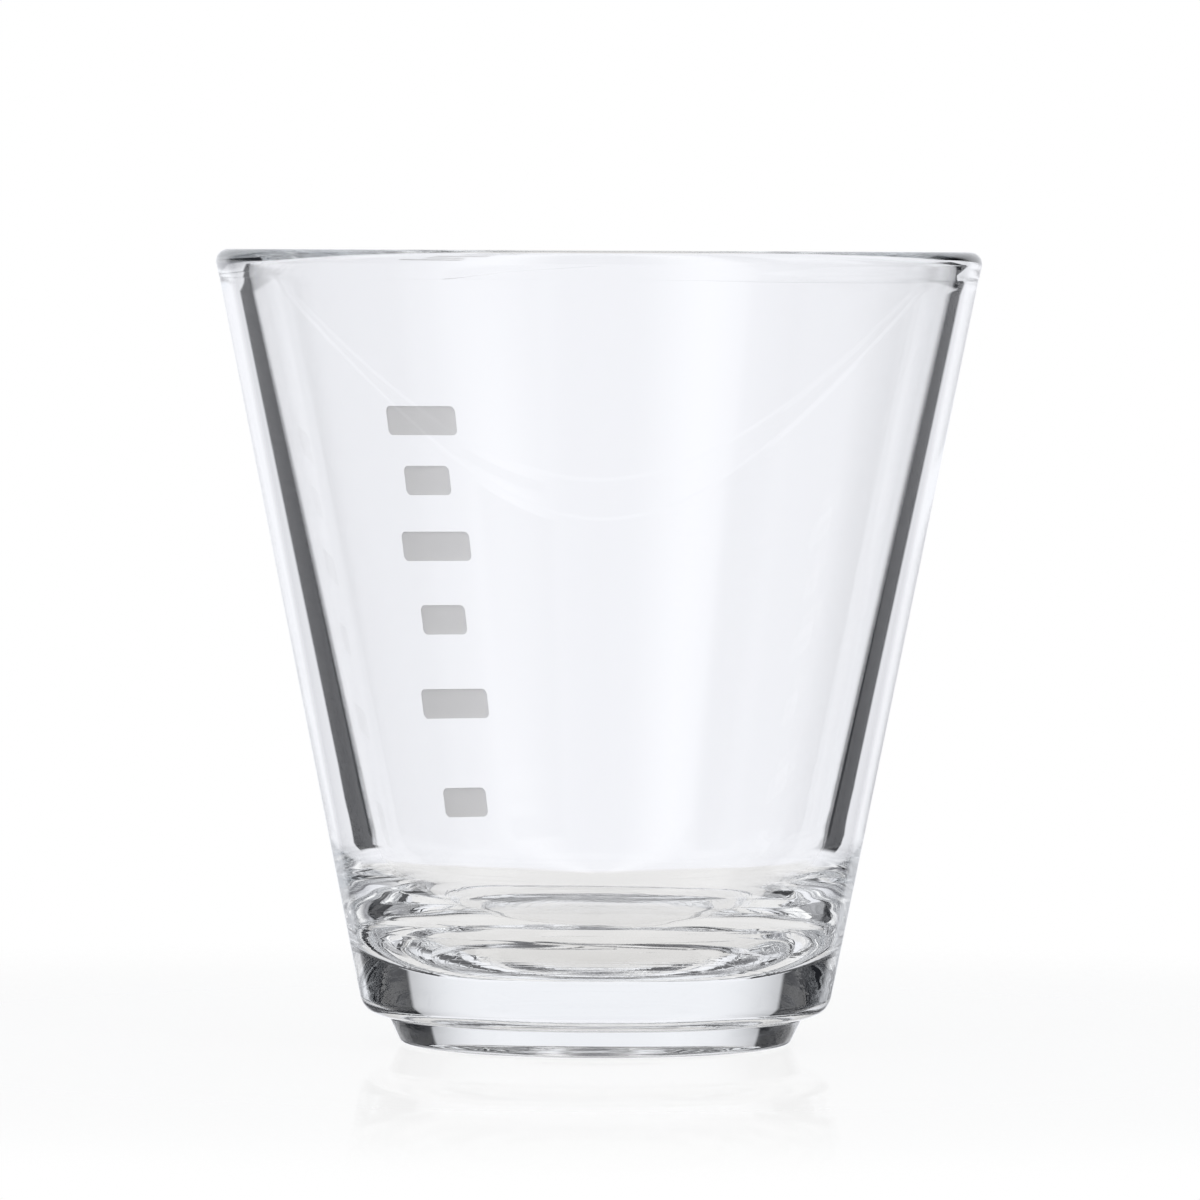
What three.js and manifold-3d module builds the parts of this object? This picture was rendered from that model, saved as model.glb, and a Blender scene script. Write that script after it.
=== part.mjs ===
// An espresso glass: a conical body of pressed glass on a stepped foot, with a thick base and a rounded lip.
// A column of enamel level marks is fired onto the outside of its wall.
// Millimetres, +Z up, origin at the centre of the ring that the glass stands on.
import * as THREE from "three";
import { mergeVertices } from "three/addons/utils/BufferGeometryUtils.js";
import Module from "manifold-3d";

// Body, outside
const HEIGHT = 64;
const RIM_DIAMETER = 62.4; // where the lip's line reaches its top, before the rounding
const BASE_DIAMETER = 37.5; // where the wall's line reaches the ledge over the foot
const BASE_EDGE_ROUNDING = 1.9;

// Lip: the ring that closes the mould leaves a line round the glass,
// and above it a band that runs on at the wall's slant, a little proud of it
const LIP_BAND_HEIGHT = 2.3;
const LIP_BAND_STEP = 0.2;
const LIP_ROUNDING = 0.98;

// Inside
const WALL_AT_RIM = 2.14;
const WALL_AT_FLOOR = 3.42; // where the wall's line would reach the floor
const FLOOR_HEIGHT = 6.6;
const FLOOR_ROUNDING = 13.2; // from the wall round to the floor, like a bowl

// Foot
const FOOT_HEIGHT = 2.3;
const LEDGE_WIDTH = 1.95; // how far the foot's top is set in from the base
const FOOT_TAPER = 1.1; // how much further its bottom is set in
const FOOT_TOP_ROUNDING = 0.5;
const FOOT_EDGE_ROUNDING = 0.7;

// Recess in the underside, inside the ring that the glass stands on:
// a steep edge and a slightly domed ceiling
const STANDING_RING_WIDTH = 3.3;
const RECESS_EDGE_HEIGHT = 1.5;
const RECESS_EDGE_WIDTH = 0.8;
const RECESS_DOME_RISE = 0.4;
const RECESS_ROUNDING = 0.4;

// Level marks: the top edge of each bar shows how much is in the glass, and every second bar is a long one
const MARK_COUNT = 6;
const MARK_STEP_ML = 10;
const MARK_HEIGHT = 2.4;
const SHORT_MARK_WIDTH = 5;
const LONG_MARK_WIDTH = 7.6;
const MARK_CORNER_ROUNDING = 0.5;
const MARK_AZIMUTH = 125; // degrees from +X towards +Y
const ENAMEL_THICKNESS = 0.15;
const ENAMEL_CLEARANCE = 0.02;

// Fineness of the facets
const SEGMENTS_ROUND = 72;
const DEGREES_PER_ARC_STEP = 13;
const DOME_RINGS = 4;
const MARK_CORNER_STEPS = 3;

const MM3_PER_ML = 1000;
const LEVEL_TOLERANCE = 0.001;

const rimRadius = RIM_DIAMETER / 2;
const lipBandBottom = HEIGHT - LIP_BAND_HEIGHT;
const wallTop = new THREE.Vector2(rimRadius - LIP_BAND_STEP, HEIGHT);
const wallBottom = new THREE.Vector2(BASE_DIAMETER / 2, FOOT_HEIGHT);

// Radius of the outside of the wall at a height
function wallRadius(height) {
  return THREE.MathUtils.mapLinear(height, wallBottom.y, wallTop.y, wallBottom.x, wallTop.x);
}

// A half section drawn corner by corner. A corner is a radius, a height and a rounding,
// which is an arc that meets both of the corner's sides smoothly.
// Two arcs that don't fit on the side between them shrink together.
function roundedSection(corners) {
  const points = corners.map(([radius, height]) => new THREE.Vector2(radius, height));
  const bends = corners.map(([, , rounding], i) => {
    if (!rounding) return { tangent: 0 };
    const towardsLast = points[i - 1].clone().sub(points[i]).normalize();
    const towardsNext = points[i + 1].clone().sub(points[i]).normalize();
    const halfCorner = Math.acos(towardsLast.dot(towardsNext)) / 2;
    return { towardsLast, towardsNext, halfCorner, tangent: rounding / Math.tan(halfCorner) };
  });
  const fitAfter = bends.map(({ tangent }, i) => {
    if (!tangent || i + 1 === bends.length) return 1;
    return Math.min(1, points[i].distanceTo(points[i + 1]) / (tangent + bends[i + 1].tangent));
  });
  return points.flatMap((point, i) => {
    const { towardsLast, towardsNext, halfCorner, tangent } = bends[i];
    if (!tangent) return [point];
    const fitted = tangent * Math.min(fitAfter[i - 1], fitAfter[i]);
    const radius = fitted * Math.tan(halfCorner);
    const inwards = towardsLast.clone().add(towardsNext).normalize();
    const centre = point.clone().addScaledVector(inwards, radius / Math.sin(halfCorner));
    const start = point.clone().addScaledVector(towardsLast, fitted).sub(centre);
    const end = point.clone().addScaledVector(towardsNext, fitted).sub(centre);
    const turn = Math.PI - 2 * halfCorner;
    const steps = Math.ceil(THREE.MathUtils.radToDeg(turn) / DEGREES_PER_ARC_STEP);
    const clockwise = towardsLast.cross(towardsNext) > 0;
    return new THREE.EllipseCurve(
      centre.x, centre.y, radius, radius, start.angle(), end.angle(), clockwise,
    ).getPoints(steps);
  });
}

// A closed surface turned round the Z axis from a half section
function turned(section) {
  return new THREE.LatheGeometry(section, SEGMENTS_ROUND).rotateX(Math.PI / 2);
}

// Corners of a shallow dome from its top on the axis out to just before its edge
function domeCorners(radius, edgeHeight, rise) {
  const sphereRadius = (radius ** 2 + rise ** 2) / (2 * rise);
  return Array.from({ length: DOME_RINGS }, (_, ring) => {
    const r = (radius * ring) / DOME_RINGS;
    return [r, edgeHeight + rise - sphereRadius + Math.sqrt(sphereRadius ** 2 - r ** 2)];
  });
}

// The body's half section, from the middle of the underside out to the foot, up the wall, over the lip
// and down the inside to the middle of the floor
const footTopRadius = wallBottom.x - LEDGE_WIDTH;
const footBottomRadius = footTopRadius - FOOT_TAPER;
const recessRadius = footBottomRadius - STANDING_RING_WIDTH;
const recessCeilingRadius = recessRadius - RECESS_EDGE_WIDTH;
const seamRadius = wallRadius(lipBandBottom);
const bodySection = roundedSection([
  ...domeCorners(recessCeilingRadius, RECESS_EDGE_HEIGHT, RECESS_DOME_RISE),
  [recessCeilingRadius, RECESS_EDGE_HEIGHT, RECESS_ROUNDING],
  [recessRadius, 0, RECESS_ROUNDING],
  [footBottomRadius, 0, FOOT_EDGE_ROUNDING],
  [footTopRadius, FOOT_HEIGHT, FOOT_TOP_ROUNDING],
  [wallBottom.x, wallBottom.y, BASE_EDGE_ROUNDING],
  [seamRadius, lipBandBottom],
  [seamRadius + LIP_BAND_STEP, lipBandBottom],
  [rimRadius, HEIGHT, LIP_ROUNDING],
  [rimRadius - WALL_AT_RIM, HEIGHT, LIP_ROUNDING],
  [wallRadius(FLOOR_HEIGHT) - WALL_AT_FLOOR, FLOOR_HEIGHT, FLOOR_ROUNDING],
  [0, FLOOR_HEIGHT],
]);

// The inside of the section, from the floor up to the top of the lip
const lipTop = bodySection.findIndex((point) => point.y === Math.max(...bodySection.map(({ y }) => y)));
const cavitySection = bodySection.slice(lipTop).reverse();

// Millilitres that the glass holds up to a height, summed over the cones between the section's points
function volumeBelow(height) {
  return cavitySection.slice(1).reduce((volume, upper, i) => {
    const lower = cavitySection[i];
    const rise = Math.min(height, upper.y) - lower.y;
    if (rise <= 0) return volume;
    const radius = THREE.MathUtils.lerp(lower.x, upper.x, rise / (upper.y - lower.y));
    const cone = (Math.PI / 3) * rise * (lower.x ** 2 + lower.x * radius + radius ** 2);
    return volume + cone / MM3_PER_ML;
  }, 0);
}

// Height that a drink of so many millilitres reaches
function levelOf(millilitres) {
  let low = FLOOR_HEIGHT;
  let high = HEIGHT;
  while (high - low > LEVEL_TOLERANCE) {
    const middle = (low + high) / 2;
    if (volumeBelow(middle) < millilitres) low = middle;
    else high = middle;
  }
  return low;
}

const wasm = await Module();
wasm.setup();

// What two closed geometries have in common
function common(geometryA, geometryB) {
  const [a, b] = [geometryA, geometryB].map((geometry) => {
    const bare = geometry.clone().deleteAttribute("normal").deleteAttribute("uv");
    const merged = mergeVertices(bare);
    return new wasm.Manifold(
      new wasm.Mesh({
        numProp: 3,
        vertProperties: merged.attributes.position.array,
        triVerts: new Uint32Array(merged.index.array),
      }),
    );
  });
  const { vertProperties, triVerts } = a.intersect(b).getMesh();
  const geometry = new THREE.BufferGeometry();
  geometry.setAttribute("position", new THREE.BufferAttribute(vertProperties, 3));
  geometry.setIndex(new THREE.BufferAttribute(triVerts, 1));
  geometry.computeVertexNormals();
  return geometry;
}

// A rectangle with rounded corners, centred sideways and hanging down from its top edge
function barOutline(width, height, rounding) {
  const x = width / 2 - rounding;
  const y = height - rounding;
  const quarter = Math.PI / 2;
  return new THREE.Shape()
    .absarc(x, -rounding, rounding, 0, quarter)
    .absarc(-x, -rounding, rounding, quarter, 2 * quarter)
    .absarc(-x, -y, rounding, 2 * quarter, 3 * quarter)
    .absarc(x, -y, rounding, 3 * quarter, 4 * quarter);
}

// A coat of enamel all the way round the wall, from which the marks are stamped
function enamelCoat() {
  const inner = ENAMEL_CLEARANCE;
  const outer = ENAMEL_CLEARANCE + ENAMEL_THICKNESS;
  const section = [
    new THREE.Vector2(wallBottom.x + inner, wallBottom.y),
    new THREE.Vector2(wallBottom.x + outer, wallBottom.y),
    new THREE.Vector2(wallTop.x + outer, wallTop.y),
    new THREE.Vector2(wallTop.x + inner, wallTop.y),
  ];
  return turned([...section, section[0]]);
}

// The bar that marks a height, cut out of the coat by an outline pushed straight out from the glass's axis
function levelMark(coat, height, width) {
  const outline = barOutline(width, MARK_HEIGHT, MARK_CORNER_ROUNDING);
  const stamp = new THREE.ExtrudeGeometry(outline, {
    depth: RIM_DIAMETER,
    curveSegments: MARK_CORNER_STEPS,
    bevelEnabled: false,
  });
  const azimuth = THREE.MathUtils.degToRad(MARK_AZIMUTH);
  const out = new THREE.Vector3(Math.cos(azimuth), Math.sin(azimuth), 0);
  const up = new THREE.Vector3(0, 0, 1);
  const along = up.clone().cross(out);
  stamp.applyMatrix4(new THREE.Matrix4().makeBasis(along, up, out).setPosition(0, 0, height));
  return common(coat, stamp);
}

const espressoGlass = new THREE.Group();

function addPiece(name, geometry, material) {
  const piece = new THREE.Mesh(geometry, new THREE.MeshStandardMaterial(material));
  piece.name = name;
  espressoGlass.add(piece);
}

const clearGlass = { color: 0xf1f4f8, roughness: 0.03, metalness: 0, transparent: true, opacity: 0.35 };
addPiece("glass", turned(bodySection), clearGlass);

const greyEnamel = { color: 0xe4e3e2, roughness: 0.55, metalness: 0 };
const coat = enamelCoat();
for (let mark = 1; mark <= MARK_COUNT; mark++) {
  const millilitres = mark * MARK_STEP_ML;
  const width = mark % 2 ? SHORT_MARK_WIDTH : LONG_MARK_WIDTH;
  addPiece(`level_mark_${millilitres}ml`, levelMark(coat, levelOf(millilitres), width), greyEnamel);
}

export default espressoGlass;
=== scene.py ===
"""A small conical espresso glass with enamel level marks, on a white table in front of a white backdrop."""

import math

import bpy
import numpy as np
from mathutils import Matrix, Vector, noise


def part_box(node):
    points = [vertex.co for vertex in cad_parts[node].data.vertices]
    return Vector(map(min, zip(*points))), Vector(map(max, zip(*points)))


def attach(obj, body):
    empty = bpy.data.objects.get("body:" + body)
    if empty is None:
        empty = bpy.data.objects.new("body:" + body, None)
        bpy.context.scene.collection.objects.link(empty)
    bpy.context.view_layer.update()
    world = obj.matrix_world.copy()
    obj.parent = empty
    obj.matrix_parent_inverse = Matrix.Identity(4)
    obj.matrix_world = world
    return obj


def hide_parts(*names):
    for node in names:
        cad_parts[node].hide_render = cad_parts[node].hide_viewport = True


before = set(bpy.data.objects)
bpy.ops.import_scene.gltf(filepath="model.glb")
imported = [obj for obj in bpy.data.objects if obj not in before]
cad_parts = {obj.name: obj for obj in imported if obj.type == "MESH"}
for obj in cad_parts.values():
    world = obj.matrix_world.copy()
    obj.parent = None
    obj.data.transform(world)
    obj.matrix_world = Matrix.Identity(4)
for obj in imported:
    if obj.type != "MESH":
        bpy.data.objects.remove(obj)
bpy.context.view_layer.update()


# Glass body
# One gob of clear soda-lime glass, pressed between a mould, a ring and a plunger, and then fire-polished.
# The cooling tools leave it finely rippled where the glass is thickest, in the bowl and under the base.

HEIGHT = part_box("glass")[1].z
RIM_RADIUS = 0.03112
BASE_RADIUS = 0.01875
BASE_EDGE_ROUNDING = 0.0019
LIP_BAND_HEIGHT = 0.0023
LIP_BAND_STEP = 0.00008
SEAM_STEP = 0.00002
LIP_ROUNDING = 0.00098
WALL_AT_RIM = 0.00214
WALL_AT_FLOOR = 0.00342
FLOOR_HEIGHT = 0.0066
BOWL_ROUNDING = 0.0132
FOOT_HEIGHT = 0.0023
LEDGE_WIDTH = 0.00195
FOOT_TAPER = 0.0011
FOOT_TOP_ROUNDING = 0.0005
FOOT_EDGE_ROUNDING = 0.0007
STANDING_RING_WIDTH = 0.0033
RECESS_EDGE_HEIGHT = 0.0015
RECESS_EDGE_WIDTH = 0.0008
RECESS_DOME_RISE = 0.0004
RECESS_ROUNDING = 0.0004

# How finely the section is cut. A hair is less than any real size here.
SEGMENTS_ROUND = 192
ARC_STEP = math.radians(5)
LONGEST_STEP = 0.0008
BOWL_STEP = 0.00022
DOME_RINGS = 96
HAIR = 1e-6

lip_band_bottom = HEIGHT - LIP_BAND_HEIGHT
wall_lean = (RIM_RADIUS - LIP_BAND_STEP - BASE_RADIUS) / (HEIGHT - FOOT_HEIGHT)
foot_top_radius = BASE_RADIUS - LEDGE_WIDTH
foot_bottom_radius = foot_top_radius - FOOT_TAPER
recess_radius = foot_bottom_radius - STANDING_RING_WIDTH
recess_ceiling_radius = recess_radius - RECESS_EDGE_WIDTH
dome_radius = (recess_ceiling_radius ** 2 + RECESS_DOME_RISE ** 2) / (2 * RECESS_DOME_RISE)
dome_centre = RECESS_EDGE_HEIGHT + RECESS_DOME_RISE - dome_radius


def wall_radius(height):
    """Radius of the outside of the wall at a height."""
    return BASE_RADIUS + wall_lean * (height - FOOT_HEIGHT)


def rounded(corners):
    """The points of a half section. Its corners, each a radius, a height and a rounding, become arcs."""
    points = []
    for i, (radius, height, rounding) in enumerate(corners):
        corner = Vector((radius, height))
        if not rounding:
            points.append(corner)
            continue
        back = (Vector(corners[i - 1][:2]) - corner).normalized()
        onward = (Vector(corners[i + 1][:2]) - corner).normalized()
        half_corner = back.angle(onward) / 2
        centre = corner + (back + onward).normalized() * rounding / math.sin(half_corner)
        spoke = corner + back * rounding / math.tan(half_corner) - centre
        turn = math.copysign(math.pi - 2 * half_corner, back.cross(onward))
        steps = math.ceil(max(abs(turn) / ARC_STEP, abs(turn) * rounding / BOWL_STEP))
        for step in range(steps + 1):
            points.append(centre + Matrix.Rotation(-turn * step / steps, 2) @ spoke)
    return points


def in_short_steps(points):
    """The same section with its long straight stretches cut up, so that the smooth shading stays true."""
    cut = [points[0]]
    for start, end in zip(points, points[1:]):
        lowest = min(start.y, end.y)
        in_bowl = start.x < BASE_RADIUS and FLOOR_HEIGHT - HAIR <= lowest < FLOOR_HEIGHT + BOWL_ROUNDING
        fine = in_bowl or start.x < recess_radius
        steps = math.ceil((end - start).length / (BOWL_STEP if fine else LONGEST_STEP))
        cut += [start.lerp(end, step / steps) for step in range(1, steps + 1)]
    return cut


dome_radii = [recess_ceiling_radius * ring / DOME_RINGS for ring in range(DOME_RINGS)]
recess_dome = [(radius, dome_centre + math.sqrt(dome_radius ** 2 - radius ** 2), 0) for radius in dome_radii]
body_section = in_short_steps(rounded(recess_dome + [
    (recess_ceiling_radius, RECESS_EDGE_HEIGHT, RECESS_ROUNDING),
    (recess_radius, 0, RECESS_ROUNDING),
    (foot_bottom_radius, 0, FOOT_EDGE_ROUNDING),
    (foot_top_radius, FOOT_HEIGHT, FOOT_TOP_ROUNDING),
    (BASE_RADIUS, FOOT_HEIGHT, BASE_EDGE_ROUNDING),
    (wall_radius(lip_band_bottom), lip_band_bottom, SEAM_STEP / 2),
    (wall_radius(lip_band_bottom) + SEAM_STEP, lip_band_bottom + SEAM_STEP, SEAM_STEP / 2),
    (RIM_RADIUS, HEIGHT, LIP_ROUNDING),
    (RIM_RADIUS - WALL_AT_RIM, HEIGHT, LIP_ROUNDING),
    (wall_radius(FLOOR_HEIGHT) - WALL_AT_FLOOR, FLOOR_HEIGHT, BOWL_ROUNDING),
    (0, FLOOR_HEIGHT, 0),
]))

# The plunger stood a little off the axis, and left long strokes in the bowl, apart from its calm middle.
PLUNGER_OFFSET = 0.00016
RIPPLE_TOP = 0.024
RIPPLE_FULL = 0.013
RIPPLE_WIDTH = 0.0008
RIPPLE_DEPTH = 0.000015
STROKES_ROUND = 2.5
CALM_RADIUS = 0.0095
CALM_FADE = CALM_RADIUS / 3

# The bottom of the mould left crinkles and thin grooves in rings.
CRINKLE_WIDTH = 0.0008
CRINKLE_DEPTH = 0.000004
RING_WIDTH = 0.0008
RING_DEPTH = 0.000006
RINGS_ROUND = 0.6
GROOVE_SHARPNESS = 0.2

radii = np.array([point.x for point in body_section])
heights = np.array([point.y for point in body_section])
run = np.r_[0, np.cumsum(np.hypot(np.diff(radii), np.diff(heights)))]
lip_top = int(np.argmax(heights))
inside = np.arange(len(body_section)) > lip_top
underneath = (np.arange(len(body_section)) < lip_top) & (radii < recess_radius)
bowl_share = np.clip((RIPPLE_TOP - heights) / (RIPPLE_TOP - RIPPLE_FULL), 0, 1) * inside
bowl_share *= np.clip((radii - CALM_RADIUS) / CALM_FADE, 0, 1)
recess_share = np.clip(heights / RECESS_EDGE_HEIGHT, 0, 1) * underneath
plunger_aside = PLUNGER_OFFSET * np.clip((HEIGHT - heights) / WALL_AT_RIM, 0, 1) * inside
slope_out, slope_up = np.gradient(radii), np.gradient(heights)
slope_length = np.hypot(slope_out, slope_up)
normal_out, normal_up = slope_up / slope_length, -slope_out / slope_length


def tool_marks(ring, x, y):
    """How far the plunger or the mould pushed a ring's glass along its normal, towards a side of the body."""
    push = 0
    if bowl_share[ring]:
        strokes = noise.noise((run[ring] / RIPPLE_WIDTH, STROKES_ROUND * x, STROKES_ROUND * y))
        push = RIPPLE_DEPTH * bowl_share[ring] * strokes
    if recess_share[ring]:
        radius, height = radii[ring], heights[ring]
        here = (radius * x / CRINKLE_WIDTH, radius * y / CRINKLE_WIDTH, height / CRINKLE_WIDTH)
        crinkles = noise.noise(here)
        rings = noise.noise((run[ring] / RING_WIDTH, RINGS_ROUND * x, RINGS_ROUND * y))
        groove = math.exp(-(rings / GROOVE_SHARPNESS) ** 2)
        push = recess_share[ring] * (CRINKLE_DEPTH * crinkles + RING_DEPTH * groove)
    return push


def pressed(name):
    """The body's mesh, turned round the Z axis, rippled, and with its inside set aside as the plunger was."""
    corners = []
    for ring, (radius, height) in enumerate(zip(radii, heights)):
        at_axis = radius < HAIR
        for segment in range(1 if at_axis else SEGMENTS_ROUND):
            angle = 2 * math.pi * segment / SEGMENTS_ROUND
            x, y = math.cos(angle), math.sin(angle)
            push = 0 if at_axis else tool_marks(ring, x, y)
            out = radius + push * normal_out[ring]
            corners.append((out * x + plunger_aside[ring], out * y, height + push * normal_up[ring]))
    last = len(corners) - 1
    here = np.arange(SEGMENTS_ROUND)
    beside = np.roll(here, -1)
    faces = [(0, 1 + n, 1 + h) for h, n in zip(here, beside)]
    for low in range(1, last - SEGMENTS_ROUND, SEGMENTS_ROUND):
        high = low + SEGMENTS_ROUND
        faces += [(low + h, low + n, high + n, high + h) for h, n in zip(here, beside)]
    faces += [(last - SEGMENTS_ROUND + h, last - SEGMENTS_ROUND + n, last) for h, n in zip(here, beside)]
    mesh = bpy.data.meshes.new(name)
    mesh.from_pydata(corners, [], [tuple(int(i) for i in face) for face in faces])
    mesh.shade_smooth()
    piece = bpy.data.objects.new(name, mesh)
    bpy.context.collection.objects.link(piece)
    return piece


def wire(tree, kind, inputs, **settings):
    """Adds a node to a material or the world. An input is a plain value or what another node gives out."""
    made = tree.nodes.new("ShaderNode" + kind)
    for name, value in settings.items():
        setattr(made, name, value)
    for name, value in inputs.items():
        if isinstance(value, bpy.types.NodeSocket):
            tree.links.new(value, made.inputs[name])
        else:
            made.inputs[name].default_value = value
    return made


glass = pressed("glass_body")

# Clear glass, faintly cool where it is thick, with the fine lines that the turned tools left in its base.
GLASS_IOR = 1.52
GLASS_TINT = (0.9, 0.93, 0.95, 1)
TINT_DENSITY = 4.0
TURNING_PITCH = 0.0008
TURNING_DRIFT = 60.0
TURNING_SHARPNESS = 0.05
TURNING_DEPTH = 0.000005
TURNED_RADIUS = 0.0145
TURNED_FADE = 0.0011
NOISE_MIDDLE = 0.5

glass_clear = bpy.data.materials.new("clear_pressed_glass")
glass_clear.use_nodes = True
glass.data.materials.append(glass_clear)
tree = glass_clear.node_tree
shader = tree.nodes["Principled BSDF"]
shader.inputs["Base Color"].default_value = (1, 1, 1, 1)
shader.inputs["Roughness"].default_value = 0
shader.inputs["IOR"].default_value = GLASS_IOR
shader.inputs["Transmission Weight"].default_value = 1

place = wire(tree, "TexCoord", {}).outputs["Object"]
flat = wire(tree, "VectorMath", {0: place, 1: (1, 1, 0)}, operation="MULTIPLY").outputs["Vector"]
out_from_axis = wire(tree, "VectorMath", {0: flat}, operation="LENGTH").outputs["Value"]
turns = wire(tree, "Math", {0: out_from_axis, 1: TURNING_PITCH}, operation="DIVIDE").outputs[0]
slow = wire(tree, "VectorMath", {0: flat, "Scale": TURNING_DRIFT}, operation="SCALE").outputs["Vector"]
along = wire(tree, "CombineXYZ", {"Z": turns}).outputs["Vector"]
spread = wire(tree, "VectorMath", {0: slow, 1: along}, operation="ADD").outputs["Vector"]
uneven = wire(tree, "TexNoise", {"Vector": spread, "Scale": 1.0, "Detail": 1.0}).outputs["Fac"]
from_middle = wire(tree, "Math", {0: uneven, 1: NOISE_MIDDLE}, operation="SUBTRACT").outputs[0]
to_line = wire(tree, "Math", {0: from_middle}, operation="ABSOLUTE").outputs[0]
turning_line = wire(
    tree,
    "MapRange",
    {"Value": to_line, "From Max": TURNING_SHARPNESS, "To Min": 1.0, "To Max": 0.0},
    interpolation_type="SMOOTHSTEP",
).outputs["Result"]
turned_end = TURNED_RADIUS + TURNED_FADE
in_base = wire(
    tree,
    "MapRange",
    {"Value": out_from_axis, "From Min": TURNED_RADIUS, "From Max": turned_end, "To Min": 1.0, "To Max": 0.0},
).outputs["Result"]
lines = wire(tree, "Bump", {"Strength": in_base, "Distance": TURNING_DEPTH, "Height": turning_line})
tree.links.new(lines.outputs["Normal"], shader.inputs["Normal"])

tint = wire(tree, "VolumeAbsorption", {"Color": GLASS_TINT, "Density": TINT_DENSITY})
tree.links.new(tint.outputs["Volume"], tree.nodes["Material Output"].inputs["Volume"])

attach(glass, "root")
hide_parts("glass")


# Level marks
# Six bars of light grey enamel, 10 ml apart, screen-printed on the outside of the wall and fired on.
# The coat is a little cloudy and satin, and thins out at its edges.

MARK_NODES = [name for name in sorted(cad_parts) if name.startswith("level_mark")]
SHORT_BAR = 0.005
LONG_BAR = 0.0076
BAR_CORNER = 0.0005
BAR_COLUMNS = 40
BAR_ROWS = 10
ENAMEL_COAT = 0.00012
ENAMEL_GAP = 0.000004
ENAMEL_SOFT_EDGE = 0.00025
ENAMEL_AT_EDGE = 0.25


def enamel_bar(name, middle_azimuth, bottom, top, width):
    """A thin coat on the cone of the wall, inside a rectangle with rounded corners."""
    half_height = (top - bottom) / 2
    middle = (top + bottom) / 2
    outer, inner = [], []
    for column in range(BAR_COLUMNS + 1):
        across = -math.cos(math.pi * column / BAR_COLUMNS) * width / 2
        into_corner = max(0, abs(across) - width / 2 + BAR_CORNER)
        reach = half_height - BAR_CORNER + math.sqrt(max(0, BAR_CORNER ** 2 - into_corner ** 2))
        for row in range(BAR_ROWS + 1):
            up = -math.cos(math.pi * row / BAR_ROWS) * reach
            to_edge = min(width / 2 - abs(across), reach - abs(up))
            rise = min(1, to_edge / ENAMEL_SOFT_EDGE)
            coat = ENAMEL_COAT * (ENAMEL_AT_EDGE + (1 - ENAMEL_AT_EDGE) * rise * (2 - rise))
            radius = wall_radius(middle + up)
            azimuth = middle_azimuth + across / radius
            for points, out in ((inner, radius + ENAMEL_GAP), (outer, radius + ENAMEL_GAP + coat)):
                points.append((out * math.cos(azimuth), out * math.sin(azimuth), middle + up))
    faces = []
    count = len(inner)
    for column in range(BAR_COLUMNS):
        for row in range(BAR_ROWS):
            a = column * (BAR_ROWS + 1) + row
            b = a + BAR_ROWS + 1
            faces.append((a, a + 1, b + 1, b))
            faces.append((count + a, count + b, count + b + 1, count + a + 1))
    rim = [column * (BAR_ROWS + 1) for column in range(BAR_COLUMNS)]
    rim += [BAR_COLUMNS * (BAR_ROWS + 1) + row for row in range(BAR_ROWS)]
    rim += [column * (BAR_ROWS + 1) + BAR_ROWS for column in range(BAR_COLUMNS, 0, -1)]
    rim += list(range(BAR_ROWS, 0, -1))
    faces += [(a, b, count + b, count + a) for a, b in zip(rim, rim[1:] + rim[:1])]
    mesh = bpy.data.meshes.new(name)
    mesh.from_pydata(inner + outer, [], faces)
    mesh.shade_smooth()
    piece = bpy.data.objects.new(name, mesh)
    bpy.context.collection.objects.link(piece)
    return piece


ENAMEL_DEEP = (0.93, 0.925, 0.92, 1)
ENAMEL_PALE = (0.98, 0.975, 0.97, 1)
CLOUDS_PER_METRE = 900.0
GRAINS_PER_METRE = 9000.0
SATIN_LEAST = 0.4
SATIN_MOST = 0.6
GRAIN_STRENGTH = 0.3
GRAIN_HEIGHT = 0.00002
BACKLIT_SHARE = 0.8

enamel = bpy.data.materials.new("grey_enamel")
enamel.use_nodes = True
tree = enamel.node_tree
place = wire(tree, "TexCoord", {}).outputs["Object"]
cloudy = wire(tree, "TexNoise", {"Vector": place, "Scale": CLOUDS_PER_METRE, "Detail": 4.0}).outputs["Fac"]
grain = wire(tree, "TexNoise", {"Vector": place, "Scale": GRAINS_PER_METRE, "Detail": 2.0}).outputs["Fac"]
grey = wire(tree, "ValToRGB", {"Fac": cloudy})
grey.color_ramp.elements[0].color = ENAMEL_DEEP
grey.color_ramp.elements[1].color = ENAMEL_PALE
satin = wire(tree, "MapRange", {"Value": grain, "To Min": SATIN_LEAST, "To Max": SATIN_MOST})
bumps = wire(tree, "Bump", {"Height": grain, "Strength": GRAIN_STRENGTH, "Distance": GRAIN_HEIGHT})
shader = tree.nodes["Principled BSDF"]
tree.links.new(grey.outputs["Color"], shader.inputs["Base Color"])
tree.links.new(satin.outputs["Result"], shader.inputs["Roughness"])
tree.links.new(bumps.outputs["Normal"], shader.inputs["Normal"])
backlit = wire(tree, "BsdfTranslucent", {"Color": grey.outputs["Color"]}).outputs["BSDF"]
coat = wire(tree, "MixShader", {0: BACKLIT_SHARE, 1: shader.outputs["BSDF"], 2: backlit}).outputs["Shader"]
tree.links.new(coat, tree.nodes["Material Output"].inputs["Surface"])

for number, node_name in enumerate(MARK_NODES):
    low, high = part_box(node_name)
    middle = (low + high) / 2
    bar = enamel_bar(
        node_name.replace("level_mark", "enamel_bar"),
        math.atan2(middle.y, middle.x),
        low.z,
        high.z,
        LONG_BAR if number % 2 else SHORT_BAR,
    )
    bar.data.materials.append(enamel)
    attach(bar, "root")
    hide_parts(node_name)


# Table
# A white, faintly polished table top that runs out into the white of the backdrop.
# Through the glass it shows as a glowing warm grey patch where the glass stands: the table's grey with the
# glass's shadow painted in, paler further out.

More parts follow.
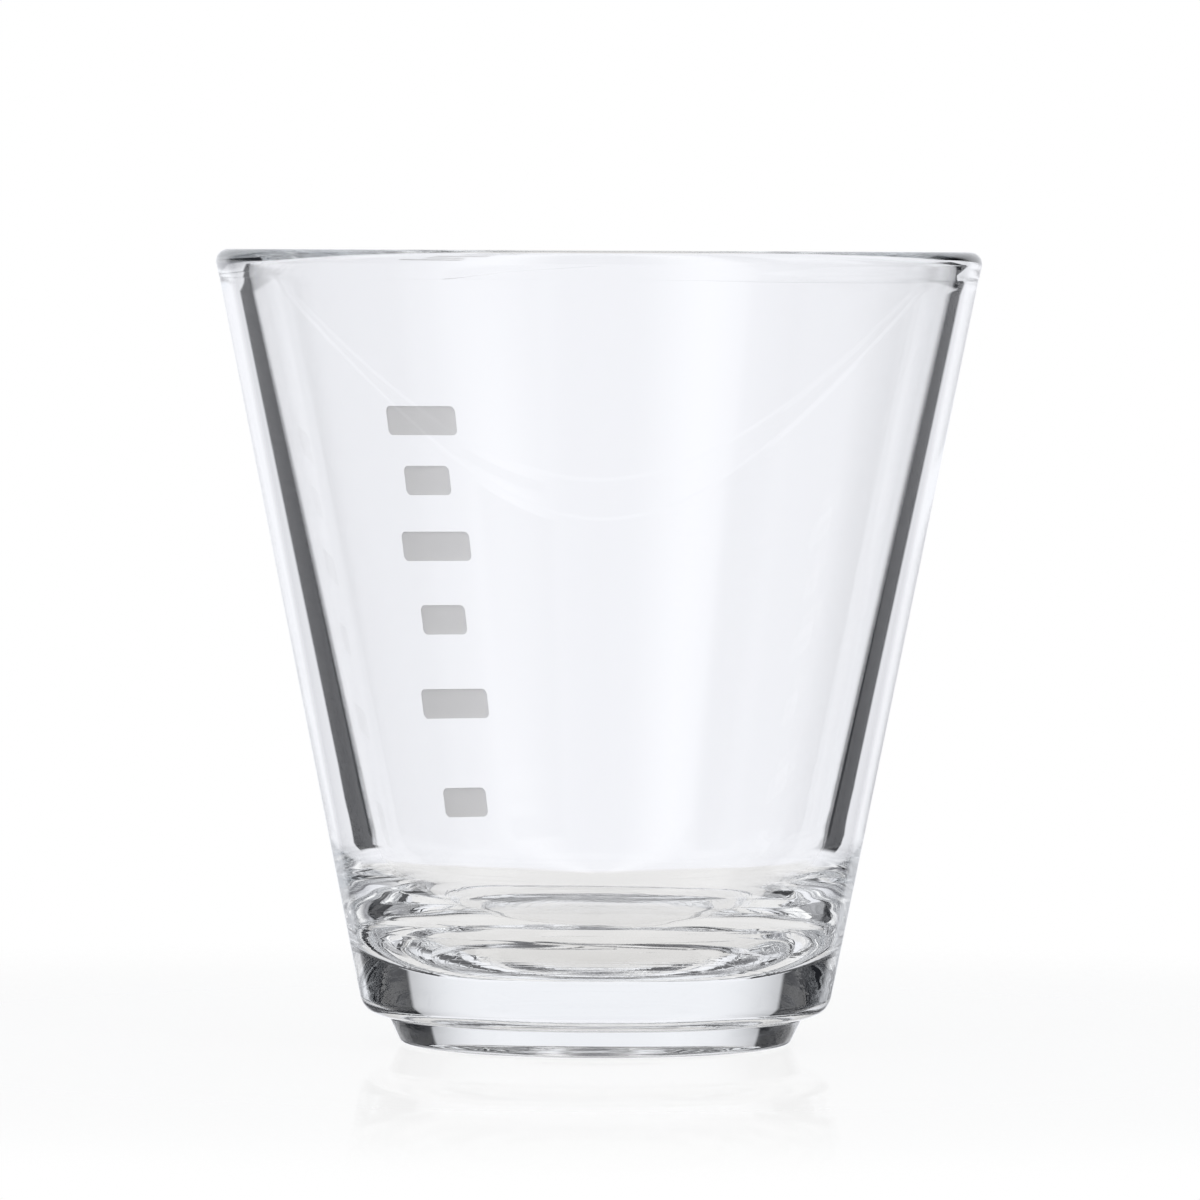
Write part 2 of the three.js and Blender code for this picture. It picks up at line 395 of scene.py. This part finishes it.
TABLE_RADIUS = 0.2
TABLE_CORNERS = 96
TABLE_DROP = 0.00001
FADE_START = 0.05
FADE_END = 0.12
TABLE_TONE = (0.93, 0.93, 0.925, 1)
WHITE_TO_CAMERA = 0.92
POLISH_SHARE = 0.12
POLISH_ROUGHNESS = 0.03
# The glass's painted shadow on the table, seen only through the glass: an emitting patch, darkest near the
# foot and paler out to its edge.
PATCH_RADIUS = 0.0355
PATCH_EDGE = 0.0015
SHADED_PATCH_TONE = (0.70, 0.69, 0.675, 1)
LESS_SHADED_TONE = (0.87, 0.865, 0.86, 1)
PALE_START = 0.006
PALE_END = 0.022

bpy.ops.mesh.primitive_circle_add(
    vertices=TABLE_CORNERS,
    radius=TABLE_RADIUS,
    fill_type="NGON",
    location=(0, 0, -TABLE_DROP),
)
table = bpy.context.object
table.name = "table"

table_white = bpy.data.materials.new("table_white")
table_white.use_nodes = True
table.data.materials.append(table_white)
tree = table_white.node_tree
tree.nodes.remove(tree.nodes["Principled BSDF"])
place = wire(tree, "TexCoord", {}).outputs["Object"]
out_from_glass = wire(tree, "VectorMath", {0: place}, operation="LENGTH").outputs["Value"]
ray = wire(tree, "LightPath", {}).outputs
clear = wire(tree, "BsdfTransparent", {}).outputs["BSDF"]

fade = wire(
    tree,
    "MapRange",
    {"Value": out_from_glass, "From Min": FADE_START, "From Max": FADE_END},
    interpolation_type="SMOOTHSTEP",
).outputs["Result"]
matt = wire(tree, "BsdfDiffuse", {"Color": TABLE_TONE}).outputs["BSDF"]
polish = wire(tree, "BsdfGlossy", {"Roughness": POLISH_ROUGHNESS}).outputs["BSDF"]
white = wire(tree, "Emission", {"Color": (1, 1, 1, 1)}).outputs["Emission"]
to_camera = wire(tree, "Math", {0: ray["Is Camera Ray"], 1: WHITE_TO_CAMERA}, operation="MULTIPLY").outputs[0]
bright = wire(tree, "MixShader", {0: to_camera, 1: matt, 2: white}).outputs["Shader"]
polished = wire(tree, "MixShader", {0: POLISH_SHARE, 1: bright, 2: polish}).outputs["Shader"]
faded = wire(tree, "MixShader", {0: fade, 1: polished, 2: clear}).outputs["Shader"]

# Painted shadow: emission that is darkest near the foot, paler further out, and clear beyond the patch's
# edge.
shadow_fading = wire(tree, "MapRange", {"Value": out_from_glass, "From Min": PALE_START, "From Max": PALE_END})
shadow_patch_colour = wire(tree, "Mix", {0: shadow_fading.outputs["Result"], 6: SHADED_PATCH_TONE, 7: LESS_SHADED_TONE}, data_type="RGBA")
painted_shadow_patch = wire(tree, "Emission", {"Color": shadow_patch_colour.outputs[2]}).outputs["Emission"]
patch_start, patch_end = PATCH_RADIUS - PATCH_EDGE, PATCH_RADIUS + PATCH_EDGE
beyond = wire(tree, "MapRange", {"Value": out_from_glass, "From Min": patch_start, "From Max": patch_end})
through_glass = wire(tree, "MixShader", {0: beyond.outputs["Result"], 1: painted_shadow_patch, 2: clear}).outputs["Shader"]

seen = wire(tree, "MixShader", {0: ray["Is Glossy Ray"], 1: faded, 2: clear}).outputs["Shader"]
shown = wire(tree, "MixShader", {0: ray["Is Transmission Ray"], 1: seen, 2: through_glass}).outputs["Shader"]
tree.links.new(shown, tree.nodes["Material Output"].inputs["Surface"])
table_white.cycles.emission_sampling = "NONE"


# Studio light
# A bright backdrop behind the glass, black flags at its sides that draw the dark lines in its walls,
# a black card and a dark ceiling above, and two soft boxes on the camera's side.

BACKDROP = (0.95, 0.96, 1.0, 1)
BACKDROP_TOP = (0.89, 0.905, 0.94, 1)
BACKDROP_SIDE = (0.36, 0.365, 0.38, 1)
CEILING = (0.08, 0.08, 0.085, 1)
CAMERA_SIDE = (0.25, 0.25, 0.27, 1)
SOFT_BOX = (1.2, 1.2, 1.2, 1)
FLAG = (0.015, 0.016, 0.019, 1)
FILL_LEVEL = 1.05

world = bpy.data.worlds.new("studio")
bpy.context.scene.world = world
world.use_nodes = True
room = world.node_tree
room.nodes.clear()


def calc(operation, *values):
    """What a sum of plain values and other nodes' results comes to."""
    return wire(room, "Math", dict(enumerate(values)), operation=operation).outputs[0]


def step_up(value, low, high):
    """Rises softly from 0 to 1 as a value goes from low to high."""
    stretch = {"Value": value, "From Min": low, "From Max": high}
    return wire(room, "MapRange", stretch, interpolation_type="SMOOTHSTEP").outputs["Result"]


def step_down(value, low, high):
    """Falls softly from 1 to 0 as a value goes from low to high."""
    return calc("SUBTRACT", 1.0, step_up(value, low, high))


def between(value, low, high, blur):
    """1 between two values and 0 outside them, with both edges blurred."""
    return calc("SUBTRACT", step_up(value, low - blur, low + blur), step_up(value, high - blur, high + blur))


def blend(share, below, above):
    """Goes from one colour to another. Sockets 6 and 7 of the node are its colours."""
    return wire(room, "Mix", {0: share, 6: below, 7: above}, data_type="RGBA").outputs[2]


# Directions in degrees: round to the right from the middle of the backdrop, and up from the level.
direction = wire(room, "SeparateXYZ", {0: wire(room, "TexCoord", {}).outputs["Generated"]}).outputs
azimuth = calc("DEGREES", calc("ARCTAN2", direction["X"], direction["Y"]))
elevation = calc("DEGREES", calc("ARCSINE", direction["Z"]))
aside = calc("ABSOLUTE", azimuth)

# The backdrop, duller upwards and to the sides, and what hangs over it.
TOP_UP = (0.0, 6.0)
SIDE_ASIDE = (22.0, 50.0)
SIDE_UP = (2.0, 6.0)
CARD_UP = (37.0, 41.0)
CARD_ASIDE = (7.0, 14.0)
CEILING_UP = (42.0, 56.0)
tone = blend(step_up(elevation, *TOP_UP), BACKDROP, BACKDROP_TOP)
tone = blend(calc("MULTIPLY", step_up(aside, *SIDE_ASIDE), step_up(elevation, *SIDE_UP)), tone, BACKDROP_SIDE)
black_card = calc("SUBTRACT", step_up(elevation, *CARD_UP), step_up(aside, *CARD_ASIDE))
tone = blend(calc("MAXIMUM", black_card, step_up(elevation, *CEILING_UP)), tone, CEILING)

# The room on the camera's side, with its soft boxes.
FRONT_ASIDE = (106.0, 120.0)
FRONT_UP = (-16.0, -2.0)
SOFT_BOX_ASIDE = (128.0, 156.0)
SOFT_BOX_BLUR = 14.0
camera_side = blend(between(aside, *SOFT_BOX_ASIDE, SOFT_BOX_BLUR), CAMERA_SIDE, SOFT_BOX)
in_front = calc("MULTIPLY", step_up(aside, *FRONT_ASIDE), step_up(elevation, *FRONT_UP))
tone = blend(in_front, tone, camera_side)

# The inner edge of the two side flags. It comes in just below the level, and is set back above it.
EDGE_ASIDE = 31.0
EDGE_COMES_IN = 4.2
EDGE_IN_UP = (-12.5, -7.5)
EDGE_SET_BACK = 13.2
EDGE_BACK_UP = (-2.0, 3.0)
EDGE_BLUR = 1.0
edge = calc("SUBTRACT", EDGE_ASIDE, calc("MULTIPLY", step_up(elevation, *EDGE_IN_UP), EDGE_COMES_IN))
edge = calc("ADD", edge, calc("MULTIPLY", step_up(elevation, *EDGE_BACK_UP), EDGE_SET_BACK))
past_edge = step_up(calc("SUBTRACT", aside, edge), -EDGE_BLUR, EDGE_BLUR)

# The flags as they are seen through the glass: two at the sides and two smaller ones nearer the camera.
RIGHT_START = (0.0, 1.0)
RIGHT_END = (106.0, 118.0)
LEFT_START = (-1.0, 0.0)
LEFT_END = (-74.0, -66.0)
NEAR_LEFT = (-128.0, -108.0)
NEAR_RIGHT = (128.0, 160.0)
NEAR_RIGHT_UP = (17.0, 20.0)
NEAR_BLUR = 3.0
FLAG_UP = (-19.0, 32.0)
FLAG_BLUR = 1.5
right_side = calc("SUBTRACT", step_up(azimuth, *RIGHT_START), step_up(azimuth, *RIGHT_END))
left_side = calc("SUBTRACT", step_up(azimuth, *LEFT_END), step_up(azimuth, *LEFT_START))
side_flags = calc("ADD", calc("MULTIPLY", past_edge, right_side), calc("MULTIPLY", past_edge, left_side))
near_right = calc("MULTIPLY", between(azimuth, *NEAR_RIGHT, NEAR_BLUR), step_up(elevation, *NEAR_RIGHT_UP))
near_flags = calc("ADD", between(azimuth, *NEAR_LEFT, NEAR_BLUR), near_right)
seen_flags = calc("MULTIPLY", calc("ADD", side_flags, near_flags), between(elevation, *FLAG_UP, FLAG_BLUR))

# Low down the flags let some light through, far round and in a gap past their inner edge.
THIN_ASIDE = (52.0, 66.0)
THIN_UP = (-13.0, -9.0)
THIN_SHARE = 0.6
GAP_LEAN = 2.15
GAP_START = (15.4, 17.4)
GAP_END = (63.0, 67.0)
GAP_UP = (-8.0, -6.0)
GAP_SHARE = 0.85
thin = calc("MULTIPLY", step_up(aside, *THIN_ASIDE), step_down(elevation, *THIN_UP))
flag_depth = calc("SUBTRACT", 1.0, calc("MULTIPLY", thin, THIN_SHARE))
past_line = calc("ADD", aside, calc("MULTIPLY", elevation, GAP_LEAN))
gap = calc("MAXIMUM", calc("SUBTRACT", step_up(past_line, *GAP_START), step_up(aside, *GAP_END)), 0.0)
gap = calc("MULTIPLY", gap, step_down(elevation, *GAP_UP))
gap_depth = calc("SUBTRACT", 1.0, calc("MULTIPLY", gap, GAP_SHARE))
seen_flags = calc("MULTIPLY", seen_flags, calc("MINIMUM", flag_depth, gap_depth))

# The flags as the glass mirrors them, with a painted dark strip below them that stands for the table in the
# glass's shadow.
SHINING_ASIDE = (31.0, 116.0)
SHINING_ASIDE_BLUR = 5.0
SHINING_UP = (-60.0, 28.0)
SHINING_UP_BLUR = 2.0
TABLE_LEAN = 0.27
TABLE_UP = (-4.9, -0.9)
TABLE_START = (5.0, 15.0)
TABLE_END = (100.0, 116.0)
TABLE_SHARE = 0.85
shining_flags = calc(
    "MULTIPLY",
    between(aside, *SHINING_ASIDE, SHINING_ASIDE_BLUR),
    between(elevation, *SHINING_UP, SHINING_UP_BLUR),
)
# Painted shade: a dark strip, seen only in reflections, low down at the sides, for the table that the glass
# shades.
below_wall = calc("ADD", elevation, calc("MULTIPLY", aside, TABLE_LEAN))
past_table = calc("MAXIMUM", step_up(below_wall, *TABLE_UP), step_up(aside, *TABLE_END))
painted_table_shade = calc("MULTIPLY", calc("SUBTRACT", 1.0, past_table), step_up(aside, *TABLE_START))
painted_table_shade = calc("MULTIPLY", painted_table_shade, TABLE_SHARE)
shining_flags = calc("MAXIMUM", calc("MULTIPLY", shining_flags, flag_depth), painted_table_shade)

# What each kind of ray finds there. Any ray that has bounced off something matt finds the even fill.
HALF_BOUNCE = 0.5
ray = wire(room, "LightPath", {}).outputs
seen_through = wire(room, "Background", {"Color": blend(seen_flags, tone, FLAG)}).outputs[0]
shining = wire(room, "Background", {"Color": blend(shining_flags, tone, FLAG)}).outputs[0]
white = wire(room, "Background", {"Color": (1, 1, 1, 1)}).outputs[0]
fill = wire(room, "Background", {"Color": (1, 1, 1, 1), "Strength": FILL_LEVEL}).outputs[0]
studio = wire(room, "MixShader", {0: ray["Is Transmission Ray"], 1: shining, 2: seen_through}).outputs[0]
after_matt = calc("GREATER_THAN", ray["Diffuse Depth"], HALF_BOUNCE)
studio = wire(room, "MixShader", {0: after_matt, 1: studio, 2: fill}).outputs[0]
studio = wire(room, "MixShader", {0: ray["Is Camera Ray"], 1: studio, 2: white}).outputs[0]
wire(room, "OutputWorld", {"Surface": studio})

# The soft boxes' own light, for the enamel and the table.
LAMP_WATTS = 1.4
LAMP_WIDTH = 0.25
LAMP_HEIGHT = 0.6
LAMP_ASIDE = 0.6
LAMP_FORWARD = 0.6
LAMP_UP = 0.5
for side in (-1, 1):
    lamp_data = bpy.data.lights.new("soft_box", "AREA")
    lamp_data.shape = "RECTANGLE"
    lamp_data.size = LAMP_WIDTH
    lamp_data.size_y = LAMP_HEIGHT
    lamp_data.energy = LAMP_WATTS
    lamp = bpy.data.objects.new("soft_box", lamp_data)
    bpy.context.collection.objects.link(lamp)
    lamp.location = (side * LAMP_ASIDE, -LAMP_FORWARD, LAMP_UP)
    lamp.rotation_euler = (Vector((0, 0, HEIGHT / 2)) - lamp.location).to_track_quat("-Z", "Y").to_euler()
    lamp.visible_glossy = False
    lamp.visible_transmission = False


# Camera
# A long lens at the rim's height, aimed a little down and turned by a hair, as in the photograph.
# Light bounces many times inside the thick base, so it gets enough bounces to come out again.

CAMERA_PLACE = Vector((0, -0.780, 0.064))
CAMERA_AIM = Vector((0.0002, 0, 0.0358))
CAMERA_ROLL = math.radians(0.27)
LENS_MM = 290
SENSOR_MM = 36

camera_data = bpy.data.cameras.new("camera")
camera_data.lens = LENS_MM
camera_data.sensor_width = SENSOR_MM
camera = bpy.data.objects.new("camera", camera_data)
bpy.context.collection.objects.link(camera)
camera.location = CAMERA_PLACE
towards = (CAMERA_AIM - CAMERA_PLACE).to_track_quat("-Z", "Y").to_matrix()
camera.rotation_euler = (towards @ Matrix.Rotation(CAMERA_ROLL, 3, "Z")).to_euler()

scene = bpy.context.scene
scene.camera = camera
scene.view_settings.view_transform = "Standard"
scene.cycles.max_bounces = 128
scene.cycles.transmission_bounces = 64
scene.cycles.glossy_bounces = 128
scene.cycles.transparent_max_bounces = 16
